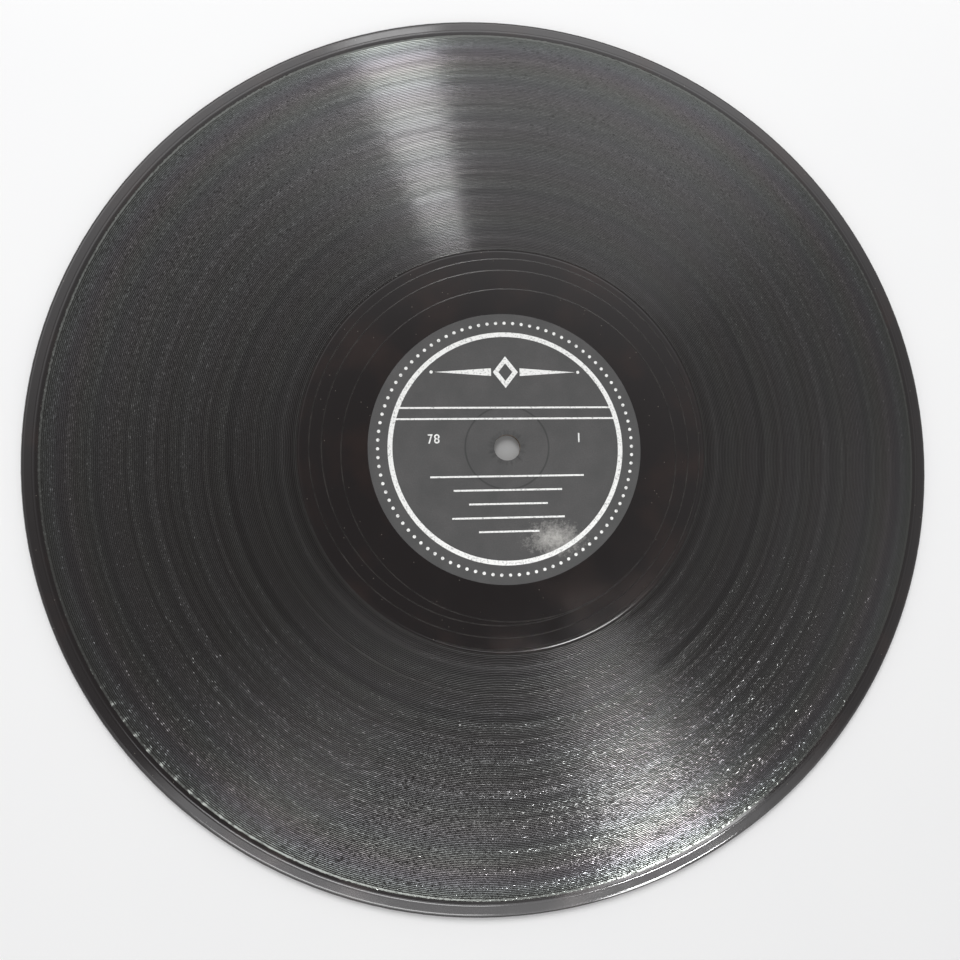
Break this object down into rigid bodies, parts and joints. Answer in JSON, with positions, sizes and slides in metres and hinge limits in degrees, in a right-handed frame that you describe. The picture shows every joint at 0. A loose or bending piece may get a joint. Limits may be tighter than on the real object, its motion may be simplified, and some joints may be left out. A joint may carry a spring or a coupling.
{
  "type": "shellac record",
  "caption": "Flat round gramophone disc with a spindle hole, a grooved playing face and a paper label on either side, laid on a turntable and played with a needle.",
  "frame": {"origin": "centre of the spindle hole, on the plane that the underside's lands rest on", "axes": "+Z along the spindle, out of side A; +Y towards the top of side A's label; +X to the right of it"},
  "size_m": [0.25, 0.25, 0.0022],
  "materials": {
    "core_compound": "coarse mineral-filled shellac compound",
    "kraft_paper": "matte, soaked with shellac",
    "shellac": "pressed, glossy on the lands and satin over the grooves",
    "label_paper": "matte, dark grey",
    "silver_ink": "printed silver ink, slightly worn"
  },
  "bodies": {
    "root": {"core_disc": "core_compound", "paper_sheet_a": "kraft_paper", "paper_sheet_b": "kraft_paper", "facing_a": "shellac", "facing_b": "shellac", "label_a": "label_paper", "label_b": "label_paper", "label_print_a": "silver_ink", "label_print_b": "silver_ink"}
  },
  "joints": []
}
